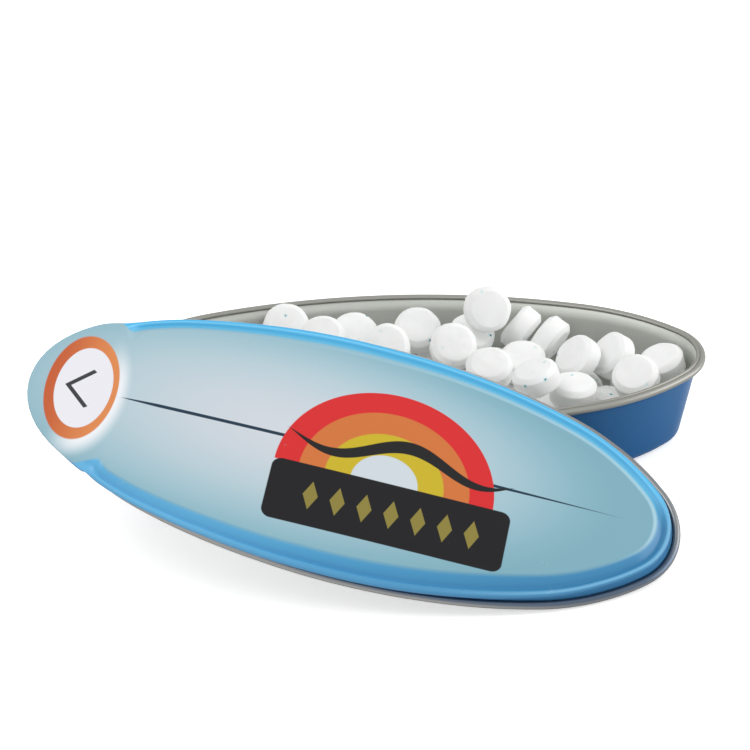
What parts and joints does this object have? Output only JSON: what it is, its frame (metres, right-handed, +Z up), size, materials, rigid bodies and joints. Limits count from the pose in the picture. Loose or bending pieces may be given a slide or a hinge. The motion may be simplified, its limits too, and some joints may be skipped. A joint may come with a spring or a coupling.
{
  "type": "surfboard-shaped mint tin",
  "caption": "Long oval pressed tin filled with small round mints, its shallow printed lid with a press tab taken off and leaned against the front.",
  "frame": {"origin": "middle of the tin body's flat base, on the surface it stands on", "axes": "+X along the tin to its right end, +Y to the back (the lid leans at the front, -Y), +Z up"},
  "size_m": [0.1238, 0.0868, 0.0355],
  "materials": {
    "printed_tin": "gloss",
    "lid_print": "gloss",
    "mint": "matte"
  },
  "bodies": {
    "body": {"tin_body": "printed_tin", "mints_bottom_layer": "mint", "mints_middle_layer": "mint", "mints_top_layer": "mint"},
    "lid": {"lid": "lid_print"},
    "loose_mint": {"mint_standing": "mint"}
  },
  "joints": [
    {"name": "lid_lift", "type": "slide", "parent": "body", "child": "lid", "axis": [0, -0.5, 0.866], "range_m": [0, 0.06]},
    {"name": "mint_pick", "type": "slide", "parent": "body", "child": "loose_mint", "axis": [0, 0, 1], "range_m": [0, 0.04]}
  ]
}
